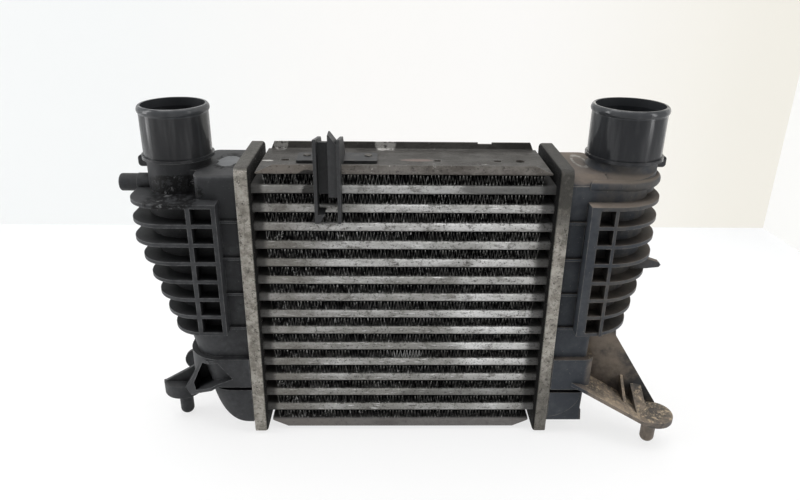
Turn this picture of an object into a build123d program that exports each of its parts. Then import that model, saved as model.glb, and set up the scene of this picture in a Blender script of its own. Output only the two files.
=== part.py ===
from build123d import *

import os
from dataclasses import dataclass

# Charge-air intercooler: a brazed tube-and-fin core between two crimped
# plastic end tanks. X runs along the tubes, Y from front to back and Z up.
# While it is drawn, x and y are 0 at the core's centre and z is 0 at the tips
# of the two locating pins. All sizes are in millimetres.

# Core
core_width = 207.0  # between the two headers
core_depth = 62.0
tube_count = 14
tube_pitch = 13.7
tube_height = 6.8
tube_wall = 0.5
tube_nose_radius = 2.6
tube_projection = 2.0  # tube end beyond the header's base
top_tube_z = 200.0
tube_slot_clearance = 0.15

# Air fins, drawn at a wider pitch than the sheet's own
fin_fold_pitch = 8.4
fin_sheet = 0.3
fin_end_gap = 8.0  # from the last fold to the header
fin_front_inset = 0.8
brazing_gap = 0.05

# Turbulators inside the tubes
turbulator_pitch = 6.6
turbulator_sheet = 0.3
turbulator_end_gap = 4.0

# Side plates above and below the core
plate_sheet = 1.5
plate_end_gap = 3.2  # from the web's end to the header
plate_flange_height = 7.2
front_flange_cutback = 12.0  # at its edge; at its root the flange is full length
back_flange_cutback = 4.5
back_flange_slope = 2.5
plate_bend_radius = 1.2
plate_hole_width = 6.0
plate_hole_height = 4.0
plate_hole_places = (-84.0, 24.0, 67.0)
plate_hole_y = 0.0
plate_end_hole_x = 83.3
plate_end_hole_radius = 3.4
flange_notch_x = 61.5
flange_notch_width = 10.5
flange_notch_depth = 1.2

# Headers: folded aluminium trays that take the tube ends
header_sheet = 1.5
header_strip = 9.6  # outside width seen from the front
header_depth = 74.6
header_margin_top = 16.5  # beyond the top tube's centre
header_margin_bottom = 19.3  # beyond the bottom tube's centre
header_corner_radius = 4.0
header_fold_radius = 2.4
crimp_front_width = 3.5
crimp_end_width = 5.6
crimp_clearance = 0.3
crimp_notch_width = 3.6
mouth_corner_radius = 0.2

# Gaskets between the headers and the tanks' feet
gasket_thickness = 2.3
gasket_width = 3.6
gasket_inner_corner = 1.0
seat_clearance = 0.1
foot_clearance = 0.3

# Tanks, in common
tank_wall = 3.0
tank_top_gap = 6.9  # from the header's upper end to the tank's top
tank_bottom_gap = 11.1  # from the header's lower end to the tank's bottom
foot_thickness = 3.8
rib_count = 8
rib_pitch = 13.8
rib_thickness = 2.6
rib_top_z = 191.7
rib_front = 44.3
rib_back = 38.5
rib_inner_x = 125.7  # the ribs' and the lattice's side towards the core
ledge_reach = 2.0
ledge_thickness = 2.0
ledge_sink = 0.5  # into the foot
shoulder_overlap = 5.0  # of the straight part with the round neck
shoulder_corner = 5.0
corner_left = 0.5  # the least rounding where a corner would come out sharp
neck_blend_radius = 4.0
belt_top_z = 69.7
belt_proud = 4.6
belt_groove = 3.0  # between the belt and the deeper bottom
skirt_proud = 4.0
skirt_inner_gap = 0.3  # beside the header's rim

# Hose spigots
spigot_wall = 1.9
neck_wall = 2.4
collar_thickness = 2.2
collar_proud = 1.4
bead_height = 5.2
bead_proud = 1.0
rim_inset = 0.5
ear_width = 9.0
ear_height = 7.0
ear_round = 2.4

# Locating pins and the arms that carry them
pin_radius = 5.3
pin_tip_round = 4.4
pin_tip_z = 1.5
tongue_bottom_z = 21.5
tongue_edge_round = 1.0
web_thickness = 3.0
gusset_thickness = 2.1

# Left tank only
side_pin_radius = 6.3
side_pin_tip_x = 202.0
side_pin_z = 194.7
side_pin_tip_round = 1.6
side_pin_shoulder_x = 188.8  # where the thicker root ends
side_pin_shoulder_radius = 6.7
left_rib_chamfer = 9.0
heel_radius = 26.5
left_heel_reach = 143.0
left_pin_x = 173.2
left_pin_y = -7.7
left_pin_boss_radius = 9.0
left_pin_boss_height = 4.0
left_tongue_x = 174.4
left_tongue_y = -5.0
left_tongue_radius = 15.0
left_tongue_top_z = 32.5
left_arm_back_y = -8.0
left_box_side = [
    (169.3, 32.1),
    (160.7, 46.5),
    (153.0, 62.1),
    (149.0, 68.0),
    (125.0, 68.0),
    (125.0, 51.0),
    (129.6, 48.3),
    (139.2, 44.9),
    (158.1, 32.2),
    (164.0, 27.7),
]
left_box_front_x = 143.5  # where the front turns back towards the tongue
left_box_end_x = 169.3
left_box_end_y = -18.9
left_pocket_side = [(158.6, 34.9), (160.0, 41.3), (149.3, 64.6), (137.1, 66.5), (126.7, 52.6), (138.9, 47.6)]
left_back_web = [(140, 57), (159, 49.2), (187.5, 32.5), (174, 26), (140, 44)]
rear_lug_radius = 9.8
rear_lug_root_x = 134.0
rear_lug_x = 170.2
rear_lug_y = 23.0
rear_lug_z = 31.5

# Right tank only
cap_top_z = 207.5
cap_thickness = 7.5
cap_proud = 0.8
cap_reach = 183.2
cap_corner = 33.0
cap_round = 3.4
flare_top_z = 214.5  # where the dished slope under the collar starts
flare_radius = 31.0
flare_hollowness = 0.32  # 0.5 would be a straight slope
right_heel_reach = 138.5
right_heel_z = 18.0
right_lip_depth = 35.5  # from the middle to its front and back
right_lip = [(115.0, 27.5), (136.9, 27.5), (139.6, 23.0), (140.4, 13.7), (115.0, 13.7)]
stub_side = [(165, 148), (177, 146.6), (186, 143.6), (187.4, 141.6), (186, 139.9), (177, 138.9), (165, 138.5)]
stub_y = -21.0
stub_thickness = 5.0
right_pin_x = 191.1
right_pin_y = -44.0
right_tongue_x = 193.5
right_tongue_radius = 14.0
right_tongue_top_z = 27.0
right_floor_side = [(120, 51), (136, 48.5), (182, 27), (192, 27), (192, 24), (182, 24), (136, 45.5), (120, 48)]
right_floor_plan = [(120, -30), (136, -44.5), (182, -57), (192, -58), (192, -28), (136, -11), (120, -11)]
right_wall_side = [(136, 94), (162.5, 94), (164, 81), (198.5, 27), (198.5, 21.5), (182, 22), (136, 45.5)]
right_wall_plan = [(136, -9.8), (199.5, -28), (199.5, -31), (136, -12.8)]
right_gusset_x = 171.0
right_gusset = [(-21, 49), (-39, 32), (-39, 30), (-21, 30)]
right_wedge_x = 187.0  # its side towards the tongue
right_wedge_width = 8.0
right_wedge = [(-26, 41), (-50, 27), (-50, 25), (-26, 25)]

# Duct clip on the top plate
clip_base_width = 56.8
clip_base_depth = 21.0
clip_base_thickness = 2.0
clip_base_x = -47.0
clip_base_y = 1.6
clip_base_corner = 1.5
clip_lift = 0.2  # above the plate's web
clip_fin_thickness = 2.1
clip_fin_left_x = -58.6
clip_fin_right_x = -43.2
clip_fin_front = 46.0
clip_fin_gap = 0.6  # in front of the plate's flange
clip_fin_sink = 1.0  # into the base
clip_fin_back_inset = 2.0
clip_fin_back_rise = 2.0  # above the base, at its back end
clip_drop_z = 181.0
clip_fin_top_z = 238.2
clip_fin_back_top_z = 231.0
clip_fin_back_y = -8.0
clip_web_top_z = 233.5
clip_web_bottom_z = 198.0
clip_web_thickness = 2.0
clip_rib_x = -50.2
clip_rib_width = 6.2
clip_rib_top_z = 240.5
clip_rib_slope = 7.0
clip_rib_flat = 1.0
clip_rib_front_inset = 2.0
clip_rib_low_gap = 1.0  # above the web's lower edge
clip_hook_reach = 5.6
clip_hook_flat = 2.0
clip_hook_height = 6.5
rivet_spacing = 43.6
rivet_radius = 1.6
rivet_head_radius = 2.8
rivet_head_height = 0.9
rivet_y = 4.6
rivet_hole_clearance = 0.15

# Worked out from the sizes above
tube_length = core_width + 2 * (header_sheet + tube_projection)
fin_height = tube_pitch - tube_height
bottom_tube_z = top_tube_z - (tube_count - 1) * tube_pitch
fin_length = core_width - 2 * fin_end_gap
plate_web_length = core_width - 2 * plate_end_gap
plate_offset = tube_height / 2 + fin_height  # from the outer tube's centre
header_base_x = core_width / 2 + header_sheet
header_outer_x = core_width / 2 + header_strip
header_top_z = top_tube_z + header_margin_top
header_bottom_z = bottom_tube_z - header_margin_bottom
header_height = header_top_z - header_bottom_z
header_mid_z = (header_top_z + header_bottom_z) / 2
tray_depth = header_depth - 2 * header_sheet
tray_height = header_height - 2 * header_sheet
foot_x = header_base_x + gasket_thickness + 2 * seat_clearance
foot_outer_x = foot_x + foot_thickness
foot_depth = tray_depth - 2 * foot_clearance
foot_height = tray_height - 2 * foot_clearance
duct_half_depth = header_depth / 2 - crimp_front_width - crimp_clearance
duct_bottom_z = header_bottom_z + tank_bottom_gap
shoulder_top_z = header_top_z - tank_top_gap
clip_base_z = top_tube_z + plate_offset + plate_sheet + clip_lift
clip_base_top_z = clip_base_z + clip_base_thickness
rib_levels = [rib_top_z - i * rib_pitch for i in range(rib_count)]
ledge_levels = rib_levels[1::2]


@dataclass
class TankSizes:
    """What differs between the two tanks. X is measured outwards from the core's centre."""

    duct_reach: float  # outer side of the duct at the top rib
    duct_low_reach: float  # the same at the lowest rib
    duct_corner: float
    rib_reach: float
    rib_low_reach: float
    rib_corner: float
    taper_from_rib: int  # the rib where duct and ribs start to narrow
    base_reach: float  # the duct below the ribs, at its top
    base_low_reach: float
    base_corner: float
    belt_bottom_z: float
    lattice: tuple  # each bar's inner and outer side
    shoulder_roll: tuple  # how far its front edge is rounded back and down
    neck_radius: float
    spigot_x: float
    spigot_radius: float
    spigot_top_z: float
    collar_z: float
    ear_reach: float
    duct_top_z: float


left_sizes = TankSizes(
    duct_reach=180.6,
    duct_low_reach=163.0,
    duct_corner=29.0,
    rib_reach=188.1,
    rib_low_reach=167.5,
    rib_corner=25.0,
    taper_from_rib=2,
    base_reach=163.0,
    base_low_reach=141.0,
    base_corner=21.0,
    belt_bottom_z=45.3,
    lattice=((rib_inner_x, 128.7), (142.7, 145.7)),
    shoulder_roll=(3.0, 3.0),
    neck_radius=22.0,
    spigot_x=158.7,
    spigot_radius=23.4,
    spigot_top_z=251.2,
    collar_z=214.8,
    ear_reach=186.0,
    duct_top_z=193.0,
)
right_sizes = TankSizes(
    duct_reach=174.8,
    duct_low_reach=160.8,
    duct_corner=30.0,
    rib_reach=182.0,
    rib_low_reach=170.8,
    rib_corner=38.0,
    taper_from_rib=3,
    base_reach=141.2,
    base_low_reach=139.3,
    base_corner=5.0,
    belt_bottom_z=43.2,
    lattice=((rib_inner_x, 132.0), (142.2, 144.4)),
    shoulder_roll=(14.0, 8.0),
    neck_radius=23.8,
    spigot_x=157.0,
    spigot_radius=25.7,
    spigot_top_z=253.2,
    collar_z=216.6,
    ear_reach=186.5,
    duct_top_z=cap_top_z - cap_round,
)


def block(low, high):
    """A box between two opposite corners."""
    size = [b - a for a, b in zip(low, high)]
    return Pos(*low) * Box(*size, align=(Align.MIN, Align.MIN, Align.MIN))


def side_slab(points, y_low, y_high):
    """An outline in X and Z, thickened along Y."""
    outline = Plane.XZ * make_face(Polyline(*points, close=True))
    return Pos(0, y_high, 0) * extrude(outline, y_high - y_low)


def folded_strip(length, height, pitch, sheet):
    """Section of a sheet folded in a zigzag, lying along X and centred."""
    folds = 2 * round(length / pitch)
    step = length / folds
    slant = (step**2 + height**2) ** 0.5 / step
    half_sheet = sheet * slant / 2
    crest = height / 2 - half_sheet
    spine = [(-length / 2 + i * step, crest * (-1) ** i) for i in range(folds + 1)]
    upper = [(x, z + half_sheet) for x, z in spine]
    lower = [(x, z - half_sheet) for x, z in reversed(spine)]
    return make_face(Polyline(*upper, *lower, close=True))


def tube_section(offset):
    """The flat tube's outline, grown by an offset."""
    depth = core_depth + 2 * offset
    height = tube_height + 2 * offset
    return Plane.YZ * RectangleRounded(depth, height, tube_nose_radius + offset)


def core_tube():
    """A flat tube with rounded noses, along X through the origin."""
    section = tube_section(0) - tube_section(-tube_wall)
    return extrude(section, tube_length / 2, both=True)


def turbulator():
    """The folded insert that fills the flat part of a tube."""
    width = core_depth - tube_height
    height = tube_height - 2 * tube_wall - 2 * brazing_gap
    section = folded_strip(width, height, turbulator_pitch, turbulator_sheet)
    length = tube_length - 2 * turbulator_end_gap
    return extrude(Plane.YZ * section, length / 2, both=True)


def air_fin():
    """One row of folded fin between two tubes, centred on the origin."""
    height = fin_height - 2 * brazing_gap
    section = folded_strip(fin_length, height, fin_fold_pitch, fin_sheet)
    return extrude(Plane.XZ * section, core_depth / 2 - fin_front_inset, both=True)


def side_plate():
    """A channel with its flanges up, and its web's underside at z = 0."""
    half = core_depth / 2
    channel = block((-plate_web_length / 2, -half, 0), (plate_web_length / 2, half, plate_flange_height))
    bends = channel.edges().filter_by(Axis.X).group_by(Axis.Z)[0]
    channel = fillet(bends, plate_bend_radius + plate_sheet)
    groove = block(
        (-plate_web_length, -half + plate_sheet, plate_sheet),
        (plate_web_length, half - plate_sheet, 2 * plate_flange_height),
    )
    inner_bends = groove.edges().filter_by(Axis.X).group_by(Axis.Z)[0]
    channel -= fillet(inner_bends, plate_bend_radius)
    end_x = plate_web_length / 2
    front_end = [(end_x, plate_sheet), (end_x - front_flange_cutback, plate_flange_height)]
    back_edge_x = end_x - back_flange_cutback
    back_end = [(back_edge_x + back_flange_slope, plate_sheet), (back_edge_x, plate_flange_height)]
    for outline, y_low, y_high in ((front_end, -core_depth, 0), (back_end, 0, core_depth)):
        beyond = [(outline[1][0], core_depth), (core_width, core_depth), (core_width, plate_sheet)]
        trim = side_slab(outline + beyond, y_low, y_high)
        channel = channel - trim - mirror(trim, about=Plane.YZ)
    return channel


def top_side_plate():
    """The top plate with its holes, its notch and the clip's rivet holes."""
    plate = side_plate()
    through = 4 * plate_sheet
    for x in plate_hole_places:
        hole = SlotOverall(plate_hole_width, plate_hole_height)
        plate -= Pos(x, plate_hole_y, 0) * extrude(hole, through, both=True)
    plate -= Pos(plate_end_hole_x, plate_hole_y, 0) * Cylinder(plate_end_hole_radius, through)
    for x in rivet_places():
        radius = rivet_radius + rivet_hole_clearance
        plate -= Pos(x, rivet_y, 0) * Cylinder(radius, through)
    notch_floor = plate_flange_height - flange_notch_depth
    plate -= block(
        (flange_notch_x - flange_notch_width / 2, 0, notch_floor),
        (flange_notch_x + flange_notch_width / 2, core_depth, 2 * plate_flange_height),
    )
    return Pos(0, 0, top_tube_z + plate_offset) * plate


def bottom_side_plate():
    """The plain bottom plate, with its flanges down."""
    plate = mirror(side_plate(), about=Plane.XY)
    return Pos(0, 0, bottom_tube_z - plate_offset) * plate


def tray_face(depth, height, corner):
    """A rounded rectangle facing +X, at the headers' mid height."""
    return Pos(0, 0, header_mid_z) * (Plane.YZ * RectangleRounded(depth, height, corner))


def header():
    """The right header: a slotted tray with its rim crimped over the tank's foot."""
    inner_x = core_width / 2
    outline = tray_face(header_depth, header_height, header_corner_radius)
    shell = Pos(inner_x, 0, 0) * extrude(outline, header_strip)
    shell = fillet(shell.faces().sort_by(Axis.X)[0].edges(), header_fold_radius)
    inner_corner = header_corner_radius - header_sheet
    pocket_length = header_strip - 2 * header_sheet
    pocket_face = tray_face(tray_depth, tray_height, inner_corner)
    pocket = Pos(header_base_x, 0, 0) * extrude(pocket_face, pocket_length)
    shell -= pocket
    mouth_depth = header_depth - 2 * crimp_front_width
    mouth_height = header_height - 2 * crimp_end_width
    mouth_face = tray_face(mouth_depth, mouth_height, mouth_corner_radius)
    mouth = Pos(header_base_x, 0, 0) * extrude(mouth_face, header_strip)
    shell -= mouth
    slot_cut = extrude(tube_section(tube_slot_clearance), header_sheet, both=True)
    for i in range(tube_count):
        shell -= Pos(inner_x + header_sheet / 2, 0, top_tube_z - i * tube_pitch) * slot_cut
    for level in ledge_levels:
        half = crimp_notch_width / 2
        shell -= block(
            (header_outer_x - header_sheet, -header_depth / 2 + header_sheet, level - half),
            (header_outer_x + header_sheet, header_depth / 2 - header_sheet, level + half),
        )
    return shell


def tank_gasket():
    """The square-cut rubber ring under the right tank's foot."""
    corner = header_corner_radius - header_sheet - foot_clearance
    outside = tray_face(foot_depth, foot_height, corner)
    inside = tray_face(foot_depth - 2 * gasket_width, foot_height - 2 * gasket_width, gasket_inner_corner)
    ring = extrude(outside - inside, gasket_thickness)
    return Pos(header_base_x + seat_clearance, 0, 0) * ring


def d_face(inner, reach, front, back, corner):
    """Plan outline that is square towards the core and round on its outer side."""
    face = Pos((inner + reach) / 2, (back - front) / 2) * Rectangle(reach - inner, front + back)
    return fillet(face.vertices().group_by(Axis.X)[-1], corner)


def tapered(sizes, z, reach, low_reach):
    """A reach that narrows evenly from one rib down to the lowest."""
    taper_z = rib_levels[sizes.taper_from_rib]
    share = max(0, (taper_z - z) / (taper_z - rib_levels[-1]))
    return reach + share * (low_reach - reach)


def duct(sizes, inset):
    """The duct's outer form, or with an inset the hollow inside it."""
    half = duct_half_depth - inset
    inner = foot_x - inset
    corner = sizes.duct_corner - inset
    reach = sizes.duct_reach - inset
    low_reach = sizes.duct_low_reach - inset
    upper = [
        Pos(0, 0, sizes.duct_top_z - inset) * d_face(inner, reach, half, half, corner),
        Pos(0, 0, rib_levels[sizes.taper_from_rib]) * d_face(inner, reach, half, half, corner),
        Pos(0, 0, rib_levels[-1]) * d_face(inner, low_reach, half, half, corner),
    ]
    base_corner = sizes.base_corner - inset
    base_top = rib_levels[-1] + inset
    base_low = duct_bottom_z + inset
    base = [
        Pos(0, 0, base_top) * d_face(inner, sizes.base_reach - inset, half, half, base_corner),
        Pos(0, 0, base_low) * d_face(inner, sizes.base_low_reach - inset, half, half, base_corner),
    ]
    return loft(upper, ruled=True) + loft(base, ruled=True)


def shoulder_plan(sizes, inset):
    """Plan outline of the straight part beside the header, blended into the round neck."""
    half = duct_half_depth - inset
    inner = foot_x - inset
    radius = sizes.neck_radius - inset
    corner = max(shoulder_corner - inset, corner_left)
    end_x = sizes.spigot_x - sizes.neck_radius + shoulder_overlap - inset
    run = sizes.spigot_x - end_x - neck_blend_radius
    blend_y = ((radius + neck_blend_radius) ** 2 - run**2) ** 0.5
    share = radius / (radius + neck_blend_radius)
    touch_x = sizes.spigot_x - share * run
    touch_y = share * blend_y
    side = [
        Line((inner, half), (end_x - corner, half)),
        TangentArc((end_x - corner, half), (end_x, half - corner), tangent=(1, 0)),
        Line((end_x, half - corner), (end_x, blend_y)),
        TangentArc((end_x, blend_y), (touch_x, touch_y), tangent=(0, -1)),
    ]
    other_side = [mirror(edge, about=Plane.XZ) for edge in side]
    neck = ThreePointArc((touch_x, touch_y), (sizes.spigot_x + radius, 0), (touch_x, -touch_y))
    return make_face(side + other_side + [neck, Line((inner, half), (inner, -half))])


def shoulder(sizes, inset):
    """The body between the round neck and the square foot, with its front edge rounded."""
    half = duct_half_depth - inset
    low = sizes.duct_top_z - 3 * tank_wall
    top = shoulder_top_z - inset
    back, down = (max(size - inset, corner_left) for size in sizes.shoulder_roll)
    roll = EllipticalCenterArc((back - half, top - down), back, down, start_angle=90, arc_size=90)
    rest = Polyline((-half, top - down), (-half, low), (half, low), (half, top), (back - half, top))
    side = extrude(Plane.YZ * make_face(roll.edges() + rest.edges()), sizes.spigot_x + 2 * sizes.neck_radius)
    return side & extrude(shoulder_plan(sizes, inset), shoulder_top_z)


def spigot(sizes):
    """The hose spigot with its bead, collar and neck, turned about its own axis."""
    radius = sizes.spigot_radius
    top = sizes.spigot_top_z
    bead_bottom = top - bead_height
    neck_bottom = shoulder_top_z - 2 * tank_wall
    profile = Polyline(
        (0, neck_bottom),
        (sizes.neck_radius, neck_bottom),
        (sizes.neck_radius, sizes.collar_z),
        (radius + collar_proud, sizes.collar_z),
        (radius + collar_proud, sizes.collar_z + collar_thickness),
        (radius, sizes.collar_z + collar_thickness),
        (radius, bead_bottom),
    )
    bead = ThreePointArc(
        (radius, bead_bottom),
        (radius + bead_proud, bead_bottom + bead_height / 2),
        (radius - rim_inset, top),
    )
    cap = Polyline((radius - rim_inset, top), (0, top), (0, neck_bottom))
    section = Plane.XZ * make_face(profile.edges() + bead.edges() + cap.edges())
    solid = Pos(sizes.spigot_x, 0, 0) * revolve(section, Axis.Z)
    ear_low = sizes.collar_z - ear_height
    ear = block(
        (sizes.spigot_x, -ear_width / 2, ear_low),
        (sizes.ear_reach, ear_width / 2, sizes.collar_z + collar_thickness / 2),
    )
    tips = ear.edges().filter_by(Axis.Y).group_by(Axis.X)[-1]
    return solid + fillet(tips, ear_round)


def spigot_bore(sizes):
    """The bore from the rim down into the duct, narrower through the neck."""
    step_z = sizes.collar_z + collar_thickness
    low = sizes.duct_top_z - 4 * tank_wall
    upright = (Align.CENTER, Align.CENTER, Align.MIN)
    wide = Cylinder(sizes.spigot_radius - spigot_wall, sizes.spigot_top_z - step_z, align=upright)
    narrow = Cylinder(sizes.neck_radius - neck_wall, step_z - low, align=upright)
    return Pos(sizes.spigot_x, 0, step_z) * wide + Pos(sizes.spigot_x, 0, low) * narrow


def rib(sizes, level):
    """One D-shaped stiffening rib round the duct."""
    reach = tapered(sizes, level, sizes.rib_reach, sizes.rib_low_reach)
    face = d_face(rib_inner_x, reach, rib_front, rib_back, sizes.rib_corner)
    return Pos(0, 0, level - rib_thickness / 2) * extrude(face, rib_thickness)


def lattice_bar(low_x, high_x):
    """An upright bar of the lattice, tying the ribs' front edges to the duct."""
    return block(
        (low_x, -rib_front, rib_levels[-1] - rib_thickness / 2),
        (high_x, -duct_half_depth + tank_wall / 2, rib_levels[0] + rib_thickness / 2),
    )


def ledge(sizes, level):
    """A short rib on the wall beside the header, on both sides of the duct."""
    half = duct_half_depth + ledge_reach
    return block(
        (foot_outer_x - ledge_sink, -half, level - ledge_thickness / 2),
        (sizes.lattice[0][1], half, level + ledge_thickness / 2),
    )


def base_reach_at(sizes, z):
    """The outer side of the duct below the ribs."""
    share = (rib_levels[-1] - z) / (rib_levels[-1] - duct_bottom_z)
    return sizes.base_reach + share * (sizes.base_low_reach - sizes.base_reach)


def belt(sizes):
    """The thicker band round the duct that carries the mounting arm."""
    reach = base_reach_at(sizes, belt_top_z) + belt_proud
    half = duct_half_depth + belt_proud
    inner = header_outer_x + skirt_inner_gap
    face = d_face(inner, reach, half, half, sizes.base_corner + belt_proud)
    return Pos(0, 0, sizes.belt_bottom_z) * extrude(face, belt_top_z - sizes.belt_bottom_z)


def skirt(sizes, inset):
    """The deeper bottom of the tank, or with an inset the hollow inside it."""
    half = duct_half_depth + skirt_proud - inset
    inner = header_outer_x + skirt_inner_gap + inset
    faces = []
    for z in (sizes.belt_bottom_z - belt_groove - inset, duct_bottom_z + inset):
        reach = base_reach_at(sizes, z) - inset
        faces.append(Pos(0, 0, z) * d_face(inner, reach, half, half, sizes.base_corner - inset))
    return loft(faces, ruled=True)


def foot():
    """The flange that the header's rim is crimped over."""
    corner = header_corner_radius - header_sheet - foot_clearance
    return Pos(foot_x, 0, 0) * extrude(tray_face(foot_depth, foot_height, corner), foot_thickness)


def locating_pin(x, y):
    """A round-tipped pin that stands on the tongue's underside."""
    height = tongue_bottom_z + web_thickness - pin_tip_z
    pin = Cylinder(pin_radius, height, align=(Align.CENTER, Align.CENTER, Align.MIN))
    tip = pin.edges().group_by(Axis.Z)[0]
    return Pos(x, y, pin_tip_z) * fillet(tip, pin_tip_round)


def tongue(x, y, radius, top_z):
    """The round end of a mounting arm."""
    height = top_z - tongue_bottom_z
    disc = Cylinder(radius, height, align=(Align.CENTER, Align.CENTER, Align.MIN))
    rims = disc.edges().filter_by(GeomType.CIRCLE)
    return Pos(x, y, tongue_bottom_z) * fillet(rims, tongue_edge_round)


def plan_prism(points):
    """An outline in plan, made as tall as the tank."""
    return extrude(make_face(Polyline(*points, close=True)), shoulder_top_z)


def right_arm():
    """The long gusseted arm under the right tank."""
    floor = side_slab(right_floor_side, right_pin_y - right_tongue_radius, 0)
    wall = side_slab(right_wall_side, right_pin_y, 0)
    arm = (floor & plan_prism(right_floor_plan)) + (wall & plan_prism(right_wall_plan))
    gusset = Plane.YZ * make_face(Polyline(*right_gusset, close=True))
    arm += Pos(right_gusset_x, 0, 0) * extrude(gusset, gusset_thickness)
    wedge = Plane.YZ * make_face(Polyline(*right_wedge, close=True))
    arm += Pos(right_wedge_x, 0, 0) * extrude(wedge, -right_wedge_width)
    arm += tongue(right_tongue_x, right_pin_y, right_tongue_radius, right_tongue_top_z)
    return arm + locating_pin(right_pin_x, right_pin_y)


def left_box():
    """The deep hollow root of the left arm, grown out of the belt and drawn on the right."""
    front = -duct_half_depth - belt_proud
    plan = [
        (rib_inner_x, front),
        (left_box_front_x, front),
        (left_box_end_x, left_box_end_y),
        (left_box_end_x, left_arm_back_y),
        (rib_inner_x, left_arm_back_y),
    ]
    box = side_slab(left_box_side, -rib_front, left_arm_back_y) & plan_prism(plan)
    return box + belt(left_sizes) - side_slab(left_pocket_side, -rib_front, left_arm_back_y - web_thickness)


def left_tongue():
    """The end of the left arm with its pin, cut off flat at the back."""
    back_web = side_slab(left_back_web, left_arm_back_y - web_thickness, left_arm_back_y)
    half_tongue = tongue(left_tongue_x, left_tongue_y, left_tongue_radius, left_tongue_top_z)
    half_tongue -= block((0, left_arm_back_y, 0), (2 * left_tongue_x, core_depth, left_tongue_x))
    boss = Cylinder(left_pin_boss_radius, left_pin_boss_height, align=(Align.CENTER, Align.CENTER, Align.MIN))
    half_tongue += Pos(left_pin_x, left_pin_y, tongue_bottom_z) * boss
    return back_web + half_tongue + locating_pin(left_pin_x, left_pin_y)


def rear_lug():
    """The round-ended lug behind the left tank's arm."""
    end = Pos(rear_lug_x, 0, rear_lug_z) * Rot(90, 0, 0) * Cylinder(rear_lug_radius, web_thickness)
    strap = block(
        (rear_lug_root_x, -web_thickness / 2, rear_lug_z - rear_lug_radius),
        (rear_lug_x, web_thickness / 2, rear_lug_z + rear_lug_radius),
    )
    return Pos(0, rear_lug_y, 0) * (end + strap)


def side_pin():
    """The horizontal locating pin beside the left spigot, with its thicker root."""
    root_x = left_sizes.spigot_x + left_sizes.neck_radius / 2
    upright = (Align.CENTER, Align.CENTER, Align.MIN)
    pin = Cylinder(side_pin_radius, side_pin_tip_x - root_x, align=upright)
    pin = fillet(pin.edges().group_by(Axis.Z)[-1], side_pin_tip_round)
    pin += Cylinder(side_pin_shoulder_radius, side_pin_shoulder_x - root_x, align=upright)
    return Pos(root_x, 0, side_pin_z) * Rot(0, 90, 0) * pin


def stub():
    """The tapered stub on the right tank's side."""
    return side_slab(stub_side, stub_y - stub_thickness / 2, stub_y + stub_thickness / 2)


def common_tank(sizes):
    """Foot, duct, ribs, lattice and spigot, before they are hollowed."""
    tank = duct(sizes, 0) + shoulder(sizes, 0) + skirt(sizes, 0) + foot() + spigot(sizes)
    for level in rib_levels:
        tank += rib(sizes, level)
    for low_x, high_x in sizes.lattice:
        tank += lattice_bar(low_x, high_x)
    for level in ledge_levels:
        tank += ledge(sizes, level)
    return tank


def hollow(sizes):
    """Everything the air passes through."""
    return duct(sizes, tank_wall) + shoulder(sizes, tank_wall) + spigot_bore(sizes)


def heel_cut(reach, bottom_z, inset):
    """What is cut away from a tank's lower outside corner to leave it round."""
    centre_x = reach - heel_radius
    centre_z = bottom_z + heel_radius
    far = centre_x + 2 * heel_radius
    corner = block((centre_x, -rib_front, 0), (far, rib_front, centre_z))
    round_part = Pos(centre_x, 0, centre_z) * Rot(90, 0, 0) * Cylinder(heel_radius - inset, 3 * rib_front)
    return corner - round_part


def cap_plan(inset):
    """Plan outline of the right tank's rolled cap."""
    front = duct_half_depth + cap_proud - inset
    return d_face(rib_inner_x + inset, cap_reach - inset, front, front, cap_corner - inset)


def cap():
    """The thick rounded roll round the top of the right tank's duct."""
    roll = Pos(0, 0, cap_top_z - cap_thickness) * extrude(cap_plan(0), cap_thickness)
    rims = roll.edges().group_by(Axis.Z)
    return fillet(rims[0] + rims[-1], cap_round)


def flare():
    """The dished slope between the cap and the right neck."""
    rise = flare_top_z - cap_top_z
    width = flare_radius - right_sizes.neck_radius
    dip = (right_sizes.neck_radius + flare_hollowness * width, cap_top_z + flare_hollowness * rise)
    slope = ThreePointArc((flare_radius, cap_top_z), dip, (right_sizes.neck_radius, flare_top_z))
    low_z = cap_top_z - cap_thickness / 2
    back = Polyline(
        (right_sizes.neck_radius, flare_top_z),
        (0, flare_top_z),
        (0, low_z),
        (flare_radius, low_z),
        (flare_radius, cap_top_z),
    )
    section = Plane.XZ * make_face(slope.edges() + back.edges())
    turned = Pos(right_sizes.spigot_x, 0, 0) * revolve(section, Axis.Z)
    return turned & extrude(cap_plan(cap_round), 2 * cap_top_z)


def right_tank():
    """The tank with the wide spigot and the long arm."""
    tank = common_tank(right_sizes) + belt(right_sizes) + cap() + flare()
    tank -= heel_cut(right_heel_reach, right_heel_z, 0) - block(
        (0, -right_lip_depth, 0),
        (2 * right_heel_reach, right_lip_depth, shoulder_top_z),
    )
    tank += side_slab(right_lip, -right_lip_depth, right_lip_depth) + stub() + right_arm()
    return tank - hollow(right_sizes)


def left_tank():
    """The tank with the narrow spigot, the side pin and the short arm."""
    tank = common_tank(left_sizes)
    for y in (-rib_front, rib_back):
        corner = Pos(left_sizes.rib_reach, y, rib_levels[0]) * Rot(0, 0, 45)
        tank -= corner * Box(left_rib_chamfer, left_rib_chamfer, 2 * rib_thickness)
    tank -= heel_cut(left_heel_reach, duct_bottom_z, 0)
    tank += left_box() + side_pin() + left_tongue() + rear_lug()
    inside = hollow(left_sizes) + skirt(left_sizes, tank_wall)
    tank -= inside - heel_cut(left_heel_reach, duct_bottom_z, tank_wall)
    return mirror(tank, about=Plane.YZ)


def rivet_places():
    """The two rivets' places along X."""
    return (clip_base_x - rivet_spacing / 2, clip_base_x + rivet_spacing / 2)


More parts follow.
